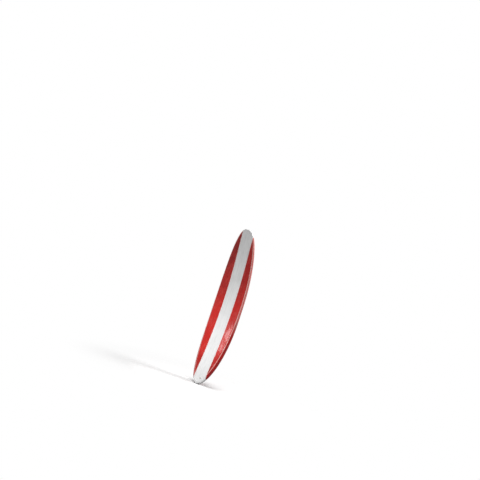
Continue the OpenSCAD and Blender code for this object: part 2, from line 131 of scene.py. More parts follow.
class BoardShape(bpy.types.PropertyGroup):
    """Outer form of the board."""

    board_l: length("Length", "From tail to nose", HULL_HIGH.z)
    board_w: length("Width", "Across the widest point", HULL_HIGH.x - HULL_LOW.x)
    board_t: length("Thickness", "At the middle of the board", 0.095)
    nose_t: length("Nose thickness", "At the tip of the nose", 0.040)
    tail_t: length("Tail thickness", "At the tip of the tail", 0.064)
    nose_rocker: length("Nose rocker", "Lift of the nose", 0.172)
    tail_rocker: length("Tail rocker", "Lift of the tail", 0.168)
    tip_round: length("Tip rounding", "Length over which the tips round off", 0.060)
    nose_full: number("Nose fullness", "Power of the outline towards the nose", 2.15)
    nose_blunt: number("Nose bluntness", "Root of the outline at the nose, 2 for an ellipse", 2.45)
    tail_full: number("Tail fullness", "Power of the outline towards the tail", 2.6)
    deck_square: number("Deck squareness", "Power of the deck's section", 3.4)
    bottom_square: number("Bottom squareness", "Power of the bottom's section", 3.5)
    tail_square: number("Tail squareness", "Power of the bottom's section at the tail", 9)
    rail_apex: number("Rail apex", "Share of the thickness below the widest point", 0.60)
    tail_apex: number("Tail apex", "The same share at the tail", 0.30)


class BoardSkins(bpy.types.PropertyGroup):
    """Laminates over the core."""

    deck_skin: length("Deck skin", "Thickness of the deck laminate", 0.0012)
    hull_skin: length("Bottom skin", "Thickness of the bottom laminate", 0.001)
    nose_lap: length("Nose lap", "From outline to deck seam at the nose", 0.011)
    tail_lap: length("Tail lap", "From outline to deck seam at the tail", 0.048)
    stripe_w: length("Stripe", "Width of the white stripe", 0.241)
    stripe_shift: length("Stripe shift", "Offset of the stripe towards the right rail", 0.022)
    pinline_w: length("Pinline width", "Width of the bead over the seam", 0.012)
    pinline_t: length("Pinline height", "Height of the bead at its middle", 0.0008)
    pinline_edge: length("Pinline edge", "Height of the bead at its edges", 0.0003)
    pinline_seat: length("Pinline seat", "Height of its underside over the deck", 0.0004)


class Fittings(bpy.types.PropertyGroup):
    """Fin, boxes and leash plug."""

    box_l: length("Fin box length", "Length of the centre box", 0.273)
    box_w: length("Fin box width", "Width of the centre box", 0.027)
    box_from_tail: length("Fin box place", "From the tail to its middle", 0.335)
    side_l: length("Side box length", "Length of a side box", 0.126)
    side_w: length("Side box width", "Width of a side box", 0.021)
    side_from_tail: length("Side box place", "From the tail to its middle", 0.430)
    side_from_centre: length("Side box spacing", "From the centre line to its middle", 0.140)
    side_sink: length("Side box sink", "Depth of its face under the bottom", 0.0003)
    flange_edge: length("Flange", "How far a flange stands out round its box or cup", 0.004)
    slot_w: length("Slot width", "Width of the slot in the centre box", 0.0096)
    lip_t: length("Lip", "Thickness of the lips beside the slot", 0.005)
    groove_h: length("Groove", "Height of the grooves under the lips", 0.007)
    fin_h: length("Fin depth", "From its base to its tip", 0.229)
    fin_base: length("Fin base", "Length of the fin at its base", 0.178)
    fin_t: length("Fin thickness", "At its base", 0.0124)
    fin_sweep: length("Fin sweep", "How far the tip leans back", 0.110)
    fin_taper: number("Fin taper", "Share of the length lost towards the tip", 0.42)
    fin_thinning: number("Fin thinning", "Share of the thickness lost towards the tip", 0.65)
    tab_l: length("Tab length", "Length of the tab in the slot", 0.165)
    tab_h: length("Tab height", "Height of the tab in the slot", 0.0165)
    lug_l: length("Lug", "Length of the screw's lug ahead of the fin", 0.022)
    pin_d: length("Pin", "Diameter of the cross pin", 0.0062)
    pin_from_end: length("Pin place", "From the tab's end to the pin", 0.0095)
    screw_d: length("Screw", "Diameter of the fin screw", 0.0042)
    screw_l: length("Screw length", "Length under the head", 0.017)
    head_d: length("Screw head", "Diameter of the head", 0.0084)
    head_h: length("Head height", "Height of the head", 0.0028)
    recess_l: length("Recess", "Length of the cross recess", 0.005)
    recess_w: length("Recess width", "Width of an arm of the recess", 0.0014)
    recess_d: length("Recess depth", "Depth of the recess", 0.0014)
    cup_d: length("Leash cup", "Diameter of the cup's body", 0.031)
    cup_from_tail: length("Cup place", "From the tail to the cup", 0.112)
    cup_from_centre: length("Cup offset", "From the centre line to the cup", 0.048)


class Finishes(bpy.types.PropertyGroup):
    """Colours of the board's materials."""

    red: colour("Deck red", "Tint of the deck panels", (0.62, 0.018, 0.013))
    # Also the colour of the painted shade at the nose and the tail
    pooled_red_and_shade: colour("Pooled red", "Tint where the resin lies thicker", (0.19, 0.004, 0.004))
    worn_red: colour("Rubbed red", "Tint where the gloss is rubbed", (0.60, 0.085, 0.075))
    # Darker than the deck red: painted shade on the rails, carried over the whole bottom
    hull_red: colour("Bottom red", "Tint of the bottom and the rails", (0.40, 0.022, 0.021))
    hull_deep: colour("Deep bottom red", "Bottom tint in thicker resin", (0.31, 0.015, 0.014))
    white: colour("Stripe white", "Opaque white of the stripe", (0.83, 0.83, 0.83))
    grey_white: colour("Stripe shade", "Thinner strokes in the white", (0.68, 0.68, 0.675))
    fringe: colour("Stripe fringe", "Red bled under the stripe's edges", (0.78, 0.50, 0.46))
    # A real pinline colour, and also a painted highlight along the rim, on the bead and over the
    # lap
    pink: colour("Pinline pink", "Pale bead over the seam", (0.74, 0.31, 0.285))
    fin_black: colour("Fin black", "Pigment of the fin", (0.012, 0.012, 0.014))
    fin_dust: colour("Fin dust", "Sanded edges of the fin", (0.09, 0.09, 0.092))
    moulded_white: colour("Moulded white", "Plastic of boxes and cup", (0.78, 0.77, 0.74))
    grime: colour("Grime", "Marks on the moulded plastic", (0.52, 0.47, 0.42))
    steel: colour("Steel", "Screw, plate and bar", (0.62, 0.62, 0.61))
    brass: colour("Brass", "Cross pin", (0.66, 0.46, 0.16))
    foam: colour("Foam", "Core", (0.86, 0.83, 0.74))
    wood: colour("Wood", "Stringer", (0.55, 0.34, 0.17))
    floor: colour("Floor", "Studio floor", (0.68, 0.68, 0.68))


class StudioView(bpy.types.PropertyGroup):
    """Camera of the studio."""

    turn: angle("Turn", "How far the camera stands round from the deck", math.radians(38.19))
    rise: angle("Rise", "How far the camera looks down", math.radians(5.74))
    lean: angle("Lean", "Roll of the camera, which leans the board", math.radians(18.69))
    distance: length("Distance", "From the camera to the board's middle", 20.0)
    span: length("Span", "Width of the picture at the board's middle", 8.122)
    spot_x: number("Spot across", "Picture column of the board's middle", 225.79)
    spot_y: number("Spot down", "Picture row of the board's middle", 307.35)


def spots(x, y, z):
    """Points from coordinates that broadcast together."""
    return np.stack(np.broadcast_arrays(x, y, z), axis=-1).astype(float)


def dome(reach, power):
    """Height of a rounded form at a reach from 0 (middle) to 1 (edge)."""
    return (1 - np.clip(reach, 0, 1) ** power) ** (1 / power)


def rib_course(share):
    """Course from 1 (tail) to -1 (nose) of a rib at a share of all ribs."""
    return np.cos(TIP + (math.pi - 2 * TIP) * share)


class Board:
    """The scene's settings, and the board's outer form as formulas on numbers or arrays.

    A layer is given by how far it lies in from the outline, from the deck and from the bottom.
    """

    surface = (0, 0, 0)

    def __init__(self, scene):
        self.shape = scene.board_shape
        self.skins = scene.board_skins
        self.fittings = scene.board_fittings
        self.colours = scene.board_finishes
        self.inside = (self.skins.hull_skin, self.skins.deck_skin, self.skins.hull_skin)

    def spread(self, course):
        """Half width at a course, as a share of the widest."""
        full = np.where(course > 0, self.shape.tail_full, self.shape.nose_full)
        root = np.where(course > 0, 2, self.shape.nose_blunt)
        return np.clip(1 - np.abs(course) ** full, 0, None) ** (1 / root)

    def plan(self, share, inset):
        """The outline drawn in by inset at a rib, as x and z."""
        course = rib_course(share)
        x = (self.shape.board_w / 2 - inset) * self.spread(course)
        z = inset + (self.shape.board_l - 2 * inset) * (1 - course / math.cos(TIP)) / 2
        return x, z

    def seam(self, share, inset=0):
        """The deck seam at a rib, drawn in by a further inset, as x and z."""
        aft = ((1 + rib_course(share)) / 2) ** LAP_POWER
        lap = self.skins.nose_lap + (self.skins.tail_lap - self.skins.nose_lap) * aft
        return self.plan(share, lap + inset)

    def stripe_edge(self, side):
        """Distance from the board's middle to the stripe's edge on one side."""
        return self.skins.stripe_w / 2 + side * self.skins.stripe_shift

    def panel_shares(self, side):
        """Shares of a side panel's ribs, bunched at the ends where the stripe meets the seam."""
        shares = np.linspace(0, 1, SEAM_SAMPLES)
        room = shares[self.seam(shares)[0] > self.stripe_edge(side) + PANEL_END]
        return room[0] + (room[-1] - room[0]) * (1 - np.cos(np.linspace(0, math.pi, RIBS))) / 2

    def profile(self, z):
        """The widest line's y, its share of the thickness, the thickness, the way to the tail."""
        shape = self.shape
        course = 1 - 2 * z / shape.board_l
        aft = np.clip(course, 0, 1)
        tip = np.where(course > 0, shape.tail_t, shape.nose_t)
        thick = shape.board_t + (tip - shape.board_t) * np.abs(course) ** FOIL_POWER
        apex = shape.rail_apex + (shape.tail_apex - shape.rail_apex) * aft
        lift = np.where(course > 0, shape.tail_rocker, shape.nose_rocker)
        rocker = lift * np.abs(course) ** ROCKER_POWER
        keel = shape.tail_rocker + shape.tail_apex * shape.tail_t - rocker
        return keel - apex * thick, apex, thick, aft

    def section(self, x, z, inset, edge, power):
        """Share of the height that is left at x; edge is the section's power, power the tips'."""
        shape = self.shape
        course = math.cos(TIP) * (1 - 2 * (z - inset) / (shape.board_l - 2 * inset))
        half = np.maximum((shape.board_w / 2 - inset) * self.spread(course), WELD)
        to_tip = np.minimum(z - inset, shape.board_l - inset - z)
        return dome(np.abs(x) / half, edge) * dome(1 - to_tip / shape.tip_round, power)

    def on_deck(self, x, z, layer=surface):
        rail_y, apex, thick, _ = self.profile(z)
        power = self.shape.deck_square
        height = (1 - apex) * thick - layer[1]
        return spots(x, rail_y - height * self.section(x, z, layer[0], power, power), z)

    def on_bottom(self, x, z, layer=surface):
        rail_y, apex, thick, aft = self.profile(z)
        power = self.shape.bottom_square
        edge = power + (self.shape.tail_square - power) * aft
        height = apex * thick - layer[2]
        return spots(x, rail_y + height * self.section(x, z, layer[0], edge, power), z)

    @staticmethod
    def seat(x, y, z, slope):
        """Frame of a fitting let into the board, with its Z along the surface."""
        return Matrix.Translation((x, y, z)) @ Matrix.Rotation(-math.atan(slope), 4, "X")

    def seat_on(self, surface_at, x, z, sink=0):
        """Frame of a fitting at one place of the deck or the bottom."""
        along = z + SLOPE_STEP * np.array((-1, 0, 1))
        low, middle, high = surface_at(np.full(3, x), along)[:, 1]
        return self.seat(x, middle - sink, z, (high - low) / (2 * SLOPE_STEP))

    def cup_seat(self):
        fit = self.fittings
        return self.seat_on(self.on_deck, fit.cup_from_centre, fit.cup_from_tail)

    def fin_box_seat(self):
        """The flat box meets the curved bottom at its two ends."""
        place, long = self.fittings.box_from_tail, self.fittings.box_l
        low, high = self.on_bottom(np.zeros(2), place + long / 2 * np.array((-1, 1)))[:, 1]
        return self.seat(0, (low + high) / 2, place, (high - low) / long)

    def box_places(self):
        """Length, width and frame of each fin box, by the name of its seal."""
        fit = self.fittings
        places = {"fin_box_seal": (fit.box_l, fit.box_w, self.fin_box_seat())}
        for name, side in (("left", -1), ("right", 1)):
            seat = self.seat_on(self.on_bottom, side * fit.side_from_centre, fit.side_from_tail,
                                fit.side_sink)
            places["side_box_seal_" + name] = (fit.side_l, fit.side_w, seat)
        return places

    def fin_seat(self):
        """Middle of the fin's root, where tab and lug share the slot's length evenly."""
        fit = self.fittings
        shift = (fit.tab_l / 2 - fit.fin_base / 2 - fit.lug_l) / 2
        return self.fin_box_seat() @ Matrix.Translation((0, 0, shift))

    def lug_z(self):
        """Place of the lug in the fin's frame."""
        return self.fittings.fin_base / 2 + self.fittings.lug_l / 2


def quads(rows, cols, start=0, around=False):
    """Faces of a grid of points that lie row after row; around joins the last row to the first."""
    faces = []
    for row in range(rows if around else rows - 1):
        here = start + row * cols
        there = start + (row + 1) % rows * cols
        faces += [(here + c, here + c + 1, there + c + 1, there + c) for c in range(cols - 1)]
    return faces


def band(loop, count):
    """Faces between a closed loop of points on one grid and the same loop, count points later."""
    return [(a, b, b + count, a + count) for a, b in zip(loop, loop[1:] + loop[:1])]


def tube(rings, count):
    """Faces of a tube through closed rings of count points, with both ends closed."""
    faces = []
    for ring in range(rings - 1):
        faces += band(list(range(ring * count, (ring + 1) * count)), count)
    return faces + [tuple(range(count)), tuple(range((rings - 1) * count, rings * count))]


def new_mesh(name, points, faces, surface=None):
    """A closed mesh with outward faces; surface holds two numbers per point for its materials."""
    mesh = bpy.data.meshes.new(name)
    mesh.from_pydata(np.asarray(points).tolist(), [], faces)
    if surface is not None:
        layer = mesh.uv_layers.new(name="surface")
        corners = np.empty(len(mesh.loops), dtype=int)
        mesh.loops.foreach_get("vertex_index", corners)
        layer.data.foreach_set("uv", np.asarray(surface)[corners].astype(np.float32).ravel())
    body = bmesh.new()
    body.from_mesh(mesh)
    bmesh.ops.remove_doubles(body, verts=body.verts, dist=WELD)
    bmesh.ops.dissolve_degenerate(body, edges=body.edges, dist=SLIVER)
    bmesh.ops.recalc_face_normals(body, faces=body.faces)
    body.to_mesh(mesh)
    body.free()
    return mesh


def skin(name, outer, inner, surface=None, around=False, closed_middle=False):
    """Closed mesh between two grids of one size; surface holds two numbers per outer point."""
    rows, cols = outer.shape[:2]
    count = rows * cols
    faces = quads(rows, cols, 0, around) + quads(rows, cols, count, around)
    first = list(range(0, count, cols))
    last = list(range(cols - 1, count, cols))
    if around:
        loops = [first] if closed_middle else [first, last]
    else:
        top, foot = range(first[-1] + 1, last[-1]), range(last[0] - 1, 0, -1)
        loops = [[*first, *top, *last[::-1], *foot]]
    for loop in loops:
        faces += band(loop, count)
    if surface is not None:
        surface = np.tile(surface.reshape(-1, 2), (2, 1))
    points = np.concatenate([outer.reshape(-1, 3), inner.reshape(-1, 3)])
    return new_mesh(name, points, faces, surface)


def mirrored(half):
    """Rows of the right half, then those of the left half on the way back."""
    return np.concatenate([half, half[::-1] * (-1, 1, 1)])


def stadium(long, wide, edge):
    """Points round a bar with round ends along Z and an edge all round it, as x and z."""
    turn = np.linspace(0, math.pi, END_POINTS)
    straight = np.linspace(-1, 1, END_POINTS)[1:-1]
    reach, radius = (long - wide) / 2, wide / 2 + edge
    right = np.stack([np.full(len(straight), radius), straight * reach], axis=-1)
    nose = np.stack([radius * np.cos(turn), reach + radius * np.sin(turn)], axis=-1)
    return np.concatenate([right, nose, -right, -nose])


def placed(seat, points):
    """Points of a fitting's own frame in the board's frame."""
    matrix = np.array(seat)
    return points @ matrix[:3, :3].T + matrix[:3, 3]


def prism(outline, low, high, seat):
    """Points and faces of an outline in x and z, drawn out along y from low to high."""
    layers = [np.insert(outline, 1, y, axis=1) for y in (low, high)]
    return placed(seat, np.concatenate(layers)), tube(len(layers), len(outline))


def turned(profile, seat):
    """Points and faces of a profile in radius and y, turned round the frame's y axis."""
    radius, y = profile.T
    grid = spots(np.outer(np.cos(SPIN), radius), y, np.outer(np.sin(SPIN), radius))
    return placed(seat, grid.reshape(-1, 3)), quads(len(SPIN), len(radius), around=True)


def rod(radius, seat):
    """Points and faces of a form that cuts a round hole along the frame's y axis."""
    return turned(np.array([(0, -CLEAR), (radius, -CLEAR), (radius, CLEAR), (0, CLEAR)]), seat)


def rounded_bar(outline, half, soft, seat):
    """Points and faces of an outline in y and z, twice half thick along x, with softened edges."""
    inward = soft * np.sign(outline.mean(axis=0) - outline)
    rings = [(-half, 1), (-half + soft, 0), (half - soft, 0), (half, 1)]
    points = [np.insert(outline + inward * draw, 0, x, axis=1) for x, draw in rings]
    return placed(seat, np.concatenate(points)), tube(len(rings), len(outline))


def new_object(name, data):
    """An object in the scene that shows this data."""
    made = bpy.data.objects.new(name, data)
    bpy.context.scene.collection.objects.link(made)
    return made


def cut(mesh, *forms):
    """The mesh with each form, given as points and faces, cut out of it."""
    whole = new_object("whole", mesh)
    cutters = [new_object("cutter", new_mesh("cutter", *form)) for form in forms]
    for cutter in cutters:
        step = whole.modifiers.new("cut", "BOOLEAN")
        step.operation = "DIFFERENCE"
        step.solver = "EXACT"
        step.object = cutter
    ready = bpy.context.evaluated_depsgraph_get()
    result = bpy.data.meshes.new_from_object(whole.evaluated_get(ready))
    for thing in [whole, *cutters]:
        bpy.data.objects.remove(thing)
    return result


def smoothed(mesh):
    """The mesh shaded smooth, apart from its creases."""
    mesh.shade_smooth()
    mesh.set_sharp_from_angle(angle=CREASE)
    return mesh


def new_piece(name, mesh, finish, body, slot, *nodes):
    """A shown piece that rides on a body and stands for nodes of the frame."""
    piece = new_object(name, mesh)
    mesh.materials.append(finish)
    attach(piece, body)
    if nodes:
        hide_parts(*nodes)


def dress(finish, *node_names):
    """Gives solids of the frame their finish."""
    for name in node_names:
        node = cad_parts[name]
        if not node.material_slots:
            node.data.materials.append(finish)
        for held in node.material_slots:
            held.material = finish


def arithmetic(operation, swapped=False):
    """A method that adds a Math node for this operation on a value."""
    def method(value, *others):
        terms = (*others, value) if swapped else (value, *others)
        return value.tree.node("ShaderNodeMath", enumerate(terms), operation=operation)
    return method


class Value:
    """A shader socket. Arithmetic on it adds Math nodes to its tree."""

    def __init__(self, tree, socket):
        self.tree = tree
        self.socket = socket

    __add__ = __radd__ = arithmetic("ADD")
    __sub__ = arithmetic("SUBTRACT")
    __rsub__ = arithmetic("SUBTRACT", swapped=True)
    __mul__ = __rmul__ = arithmetic("MULTIPLY")
    __abs__ = arithmetic("ABSOLUTE")
    largest = arithmetic("MAXIMUM")
    sine = arithmetic("SINE")

    def rising(self, low, high):
        """0 below low, 1 above high, smooth between; falling where low is the higher."""
        steps = (high, low, 1.0, 0.0) if low > high else (low, high, 0.0, 1.0)
        return self.tree.node("ShaderNodeMapRange", enumerate((self, *steps)),
                              interpolation_type="SMOOTHSTEP")

    def wave(self, pitch):
        """A wave from -1 to 1 with this pitch."""
        return (self * (2 * math.pi / pitch)).sine()


class Tree:
    """A node tree with one maker for every kind of node."""

    def __init__(self, node_tree):
        self.node_tree = node_tree

    def node(self, kind, inputs=(), output=0, **settings):
        """One node: its inputs by name or number, the output to go on from, its settings."""
        made = self.node_tree.nodes.new(kind)
        for name, choice in settings.items():
            setattr(made, name, choice)
        for key, value in dict(inputs).items():
            self.feed(made.inputs[key], value)
        return Value(self, made.outputs[output])

    def feed(self, socket, value):
        """Links a value to a socket, or sets a number or a colour on it."""
        if isinstance(value, Value):
            self.node_tree.links.new(value.socket, socket)
        elif socket.type == "RGBA":
            socket.default_value = (*value, 1)
        else:
            socket.default_value = value

    def mix(self, factor, first, second):
        """A colour between two others."""
        return self.node("ShaderNodeMix", {0: factor, 6: first, 7: second}, 2, data_type="RGBA")


class Finish(Tree):
    """One material: its main shader, the place on the piece, and the textures finishes share."""

    def __init__(self, name, **constants):
        self.material = bpy.data.materials.new(name)
        self.material.use_nodes = True
        super().__init__(self.material.node_tree)
        self.shader = self.node_tree.nodes["Principled BSDF"]
        self.place = self.node("ShaderNodeTexCoord", output="Object")
        self.done(**constants)

    def axis(self, name, of=None):
        """One part of a vector; without one, of the place on the board in metres."""
        return self.node("ShaderNodeSeparateXYZ", {0: of or self.place}, name)

    def surface(self):
        """First of the two numbers that the mesh carries for its materials."""
        return self.axis("X", self.node("ShaderNodeUVMap", uv_map="surface"))

    def noise(self, size, detail=3.0, along=1, across=1):
        """Noise from 0 to 1 in patches of this size in metres, drawn out along Z or across X."""
        scale = (1 / (size * across), 1 / size, 1 / (size * along))
        place = self.node("ShaderNodeVectorMath", {0: self.place, 1: scale}, operation="MULTIPLY")
        return self.node("ShaderNodeTexNoise", {"Vector": place, "Scale": 1.0, "Detail": detail})

    def specks(self, size):
        """Distance to scattered points, in parts of their spacing."""
        return self.node("ShaderNodeTexVoronoi", {"Vector": self.place, "Scale": 1 / size})

    def bump(self, height, depth):
        """Normal of a relief whose height from 0 to 1 stands for this depth in metres."""
        return self.node("ShaderNodeBump", {"Strength": 1.0, "Distance": depth, "Height": height})

    def done(self, **sockets):
        """Feeds the main shader's sockets and hands over the material."""
        for socket, value in sockets.items():
            self.feed(self.shader.inputs[socket.replace("_", " ")], value)
        return self.material


# What every gloss-coated resin shares
GLOSS = {"Coat_Roughness": 0.15, "Coat_IOR": 1.5, "IOR": 1.5, "Specular_IOR_Level": 0.03}
# Distance over which the tint pools beside the seam, and the width of a stripe edge's fringe
POOL = 0.045
FRINGE = 0.016
# Heights between which the red is painted darker towards the nose and towards the tail: painted
# shade at both ends
NOSE_SHADE = (1.2, 2.2)
TAIL_SHADE = (0.6, 0.25)
# Heights between which pinline pink is painted over the lap towards the nose as a highlight along
# the rim, and the strength of that painted highlight
RIM_HIGHLIGHT = (0.9, 1.3)
RIM_HIGHLIGHT_SHARE = 0.5
# Way round the rail at which the lap's colours end, in shares of the way from seam to outline
LAP_END = (1.12, 1.06)
# Distances past the stripe's edge between which its white ends on the rim
STRIPE_END = (0.002, -0.004)


def shaded(shade, share):
    """A colour brought down to a share of itself."""
    return tuple(c * share for c in shade)


def gloss_relief(finish):
    """Relief of a polished gloss coat: slow waves, fine ripple, sanding lines along the board."""
    waves = finish.noise(0.11, detail=1.0, along=2.5)
    ripple = finish.noise(0.012, detail=2.0)
    lines = finish.noise(0.0025, detail=1.0, along=14)
    return finish.bump(waves * 0.72 + ripple * 0.2 + lines * 0.08, depth=0.0016)


def rubbed(finish):
    """Where the gloss has been rubbed dull: soft patches broken into fine scratches."""
    patches = finish.noise(0.12, along=1.3).rising(0.42, 0.58)
    return patches * finish.noise(0.012, along=5).rising(0.35, 0.65)


def polished(finish, paint, rough, worn, dulled, coat, lost):
    """A gloss-coated laminate in this paint, with the coat rubbed off where it is worn."""
    return finish.done(Base_Color=paint, Roughness=rough + worn * dulled,
                       Coat_Weight=coat - worn * lost, Normal=gloss_relief(finish))


def tint_strokes(finish):
    """Uneven tint of a pigmented laminate, 0 where it is thin and 1 where it lies thick."""
    clouds = finish.noise(0.30, along=1.6)
    strokes = finish.noise(0.022, detail=4.0, along=11)
    return (clouds * 0.5 + strokes * 0.3 + finish.noise(0.05) * 0.2).rising(0.34, 0.66)


def ragged(finish):
    """Unevenness of an edge laid by hand, in metres."""
    return (finish.noise(0.018) - 0.5) * 0.008


def past_stripe(finish, skins, uneven, low, high):
    """Rises between two distances past the stripe's edge, which is uneven."""
    edge = skins.stripe_w / 2
    across = abs(finish.axis("X") - skins.stripe_shift)
    return (across + uneven).rising(edge + low, edge + high)


def deck_red_finish(colours):
    """Red gloss laminate: cloudy tint, pooled beside the seam, rubbed in places, with painted shade
    towards nose and tail.
    """
    finish = Finish("deck_red_resin", **GLOSS)
    height = finish.axis("Z")
    # Painted shade: the red darkens towards the nose and the tail; thick carries this shade as well
    # as the thicker tint
    end_shade = height.rising(*NOSE_SHADE).largest(height.rising(*TAIL_SHADE))
    thick = tint_strokes(finish) * 0.35 + end_shade * 0.5
    pooled = finish.surface().rising(POOL, 0.0) * 0.3
    worn = rubbed(finish)
    tint = finish.mix(thick.largest(pooled), colours.red, colours.pooled_red_and_shade)
    tint = finish.mix(worn * 0.55, tint, colours.worn_red)
    return finish.done(Base_Color=tint, Roughness=0.24 + worn * 0.3 + thick * 0.05,
                       Coat_Weight=0.38 - worn * 0.36, Normal=gloss_relief(finish))


def stripe_white_finish(colours, skins):
    """Opaque white laminate: long strokes, a faint stringer line, red bled under its edges."""
    finish = Finish("stripe_white_resin", **GLOSS)
    strokes = finish.noise(0.016, detail=4.0, along=22).rising(0.42, 0.72)
    clouds = finish.noise(0.22).rising(0.4, 0.75)
    line = abs(finish.axis("X")).rising(0.006, 0.0015)
    line = line * finish.noise(0.03, detail=2.0, along=8).rising(0.2, 0.6)
    thin = (strokes * 0.5 + clouds * 0.35).largest(line * 0.8)
    bled = past_stripe(finish, skins, ragged(finish), -FRINGE, FRINGE / 3) * 0.85
    pores = finish.specks(0.02).rising(0.07, 0.03) * finish.noise(0.2, detail=1.0).rising(0.5, 0.7)
    paint = finish.mix(thin, colours.white, colours.grey_white)
    paint = finish.mix(bled, paint, colours.fringe)
    paint = finish.mix(pores * 0.6, paint, colours.fringe)
    worn = rubbed(finish)
    return polished(finish, paint, 0.26, worn, 0.25, 0.26, 0.16)


def hull_red_finish(colours, skins):
    """Darker red of bottom and rails, a painted shade; towards the nose the lap is painted pink as
    a highlight along the rim, and white where the stripe ends.
    """
    finish = Finish("hull_red_resin", **GLOSS)
    worn = rubbed(finish)
    # The bottom red is darker than the deck red: painted shade on the rails and the bottom
    tint = finish.mix(tint_strokes(finish), colours.hull_red, colours.hull_deep)
    tint = finish.mix(worn * 0.5, tint, colours.red)
    uneven = ragged(finish)
    on_lap = (finish.surface() + uneven * 6).rising(*LAP_END)
    # Painted highlight: pink laid over the lap towards the nose, where the rim catches light
    rim_highlight = on_lap * finish.axis("Z").rising(*RIM_HIGHLIGHT) * RIM_HIGHLIGHT_SHARE
    tint = finish.mix(rim_highlight, tint, colours.pink)
    on_stripe = past_stripe(finish, skins, uneven, *STRIPE_END)
    tint = finish.mix(on_stripe * on_lap, tint, colours.white)
    return polished(finish, tint, 0.27, worn, 0.28, 0.12, 0.08)


def pinline_finish(colours, skins):
    """Pale pink resin line drawn by hand, white where the stripe runs off the tips; its pale pink
    is partly a painted highlight along the rim.
    """
    finish = Finish("pinline_pink_resin", **GLOSS)
    beads = finish.noise(0.03, along=4)
    tint = finish.mix(beads.rising(0.35, 0.7) * 0.6, colours.pink, colours.fringe)
    skips = finish.noise(0.014, along=5).rising(0.64, 0.74)
    tint = finish.mix(skips * 0.7, tint, colours.red)
    on_stripe = past_stripe(finish, skins, ragged(finish), *STRIPE_END)
    tint = finish.mix(on_stripe, tint, colours.white)
    relief = finish.noise(0.006, detail=2.0, along=3)
    return finish.done(Base_Color=tint, Roughness=0.28 + beads * 0.12, Coat_Weight=0.3,
                       Normal=finish.bump(relief, depth=0.0006))


def seal_finish(name, size, first, second, dulled):
    """Clear sanding resin round a fitting, clouded by the colours under it, dulled by sanding."""
    finish = Finish(name, **GLOSS)
    scratches = finish.noise(0.0012, detail=2.0, across=8)
    tint = finish.mix(finish.noise(size).rising(0.3, 0.7), first, second)
    return finish.done(Base_Color=tint, Roughness=0.3 + scratches * dulled, Coat_Weight=0.5,
                       Normal=finish.bump(scratches, depth=0.0002))


def fin_black_finish(colours):
    """Black fibreglass: cloth just visible in the resin, sanded dull along its edges."""
    finish = Finish("fin_black_glass", IOR=1.5, Coat_Roughness=0.1)
    cloth = finish.axis("Y").wave(0.006) * finish.axis("Z").wave(0.006)
    dust = finish.noise(0.004, along=6).rising(0.55, 0.75)
    edge = finish.surface().rising(0.9, 1.0)
    pale = tuple(c * 2.6 + 0.006 for c in colours.fin_black)
    shade = finish.mix(cloth * 0.3 + finish.noise(0.05) * 0.5, colours.fin_black, pale)
    shade = finish.mix(edge * 0.6 + dust * 0.12, shade, colours.fin_dust)
    relief = cloth * 0.5 + finish.noise(0.02, detail=2.0)
    return finish.done(Base_Color=shade, Roughness=0.25 + edge * 0.25 + dust * 0.15,
                       Coat_Weight=0.55 - edge * 0.4, Normal=finish.bump(relief, depth=0.0003))


def moulded_white_finish(colours):
    """White moulded plastic: fine grain, sanding marks and grime."""
    finish = Finish("box_white_plastic", IOR=1.46)
    grain = finish.noise(0.0011, detail=2.0)
    sanding = finish.noise(0.0216, along=1 / 12).rising(0.4, 0.7)
    grime = finish.noise(0.02, detail=4.0).rising(0.48, 0.8)
    shade = finish.mix(sanding * 0.25 + grime * 0.4, colours.moulded_white, colours.grime)
    return finish.done(Base_Color=shade, Roughness=0.42 + sanding * 0.2 + grain * 0.08,
                       Normal=finish.bump(grain * 0.6 + sanding * 0.4, depth=0.0002))


def metal_finish(name, shade, size):
    """Turned metal: fine rings of this size and a slightly dulled film."""
    finish = Finish(name, Metallic=1.0)
    rings = finish.noise(size, across=14)
    film = finish.noise(0.006).rising(0.4, 0.75)
    tone = finish.mix(film * 0.5 + rings * 0.3, shade, shaded(shade, 0.62))
    return finish.done(Base_Color=tone, Roughness=0.2 + rings * 0.16 + film * 0.15,
                       Normal=finish.bump(rings, depth=0.00006))


def foam_finish(foam):
    """Shaped foam: fine cells and the faint marks of the shaping tools."""
    finish = Finish("foam_blank", IOR=1.4)
    cells = finish.specks(0.0022)
    marks = finish.noise(0.004, along=10)
    shade = finish.mix(cells * 0.35 + marks * 0.2, foam, shaded(foam, 0.78))
    return finish.done(Base_Color=shade, Roughness=0.78 + marks * 0.15,
                       Normal=finish.bump(cells, depth=0.0004))


def wood_finish(wood):
    """Stringer wood: long grain and darker pores."""
    finish = Finish("stringer_wood", IOR=1.45)
    grain = finish.noise(0.004, detail=5.0, along=40)
    pores = finish.noise(0.0012, detail=2.0, along=18).rising(0.58, 0.7)
    shade = finish.mix(grain.rising(0.3, 0.7), wood, shaded(wood, 0.55))
    shade = finish.mix(pores * 0.5, shade, shaded(wood, 0.3))
    return finish.done(Base_Color=shade, Roughness=0.55 + grain * 0.2,
                       Normal=finish.bump(grain, depth=0.0003))


class LONGBOARD_OT_core(bpy.types.Operator):
    """Finish the foam halves and the stringer."""

    bl_idname = "longboard.core"
    bl_label = "Core"

    def execute(self, context):
        colours = context.scene.board_finishes
        dress(foam_finish(colours.foam), "foam_blank_left", "foam_blank_right")
        dress(wood_finish(colours.wood), "stringer")
        return {"FINISHED"}


def deck_strip(board, name, shares, edges, steps, holes=()):
    """Mesh of a deck laminate between two edges that follow from the seam's x."""
    seam_x, seam_z = (values[:, None] for values in board.seam(shares))
    first, last = edges(seam_x)
    x = first + (last - first) * np.linspace(0, 1, steps)
    z = np.broadcast_to(seam_z, x.shape)
    surface = np.stack([seam_x - np.abs(x), z], axis=-1)
    mesh = skin(name, board.on_deck(x, z), board.on_deck(x, z, board.inside), surface)
    return smoothed(cut(mesh, *holes) if holes else mesh)


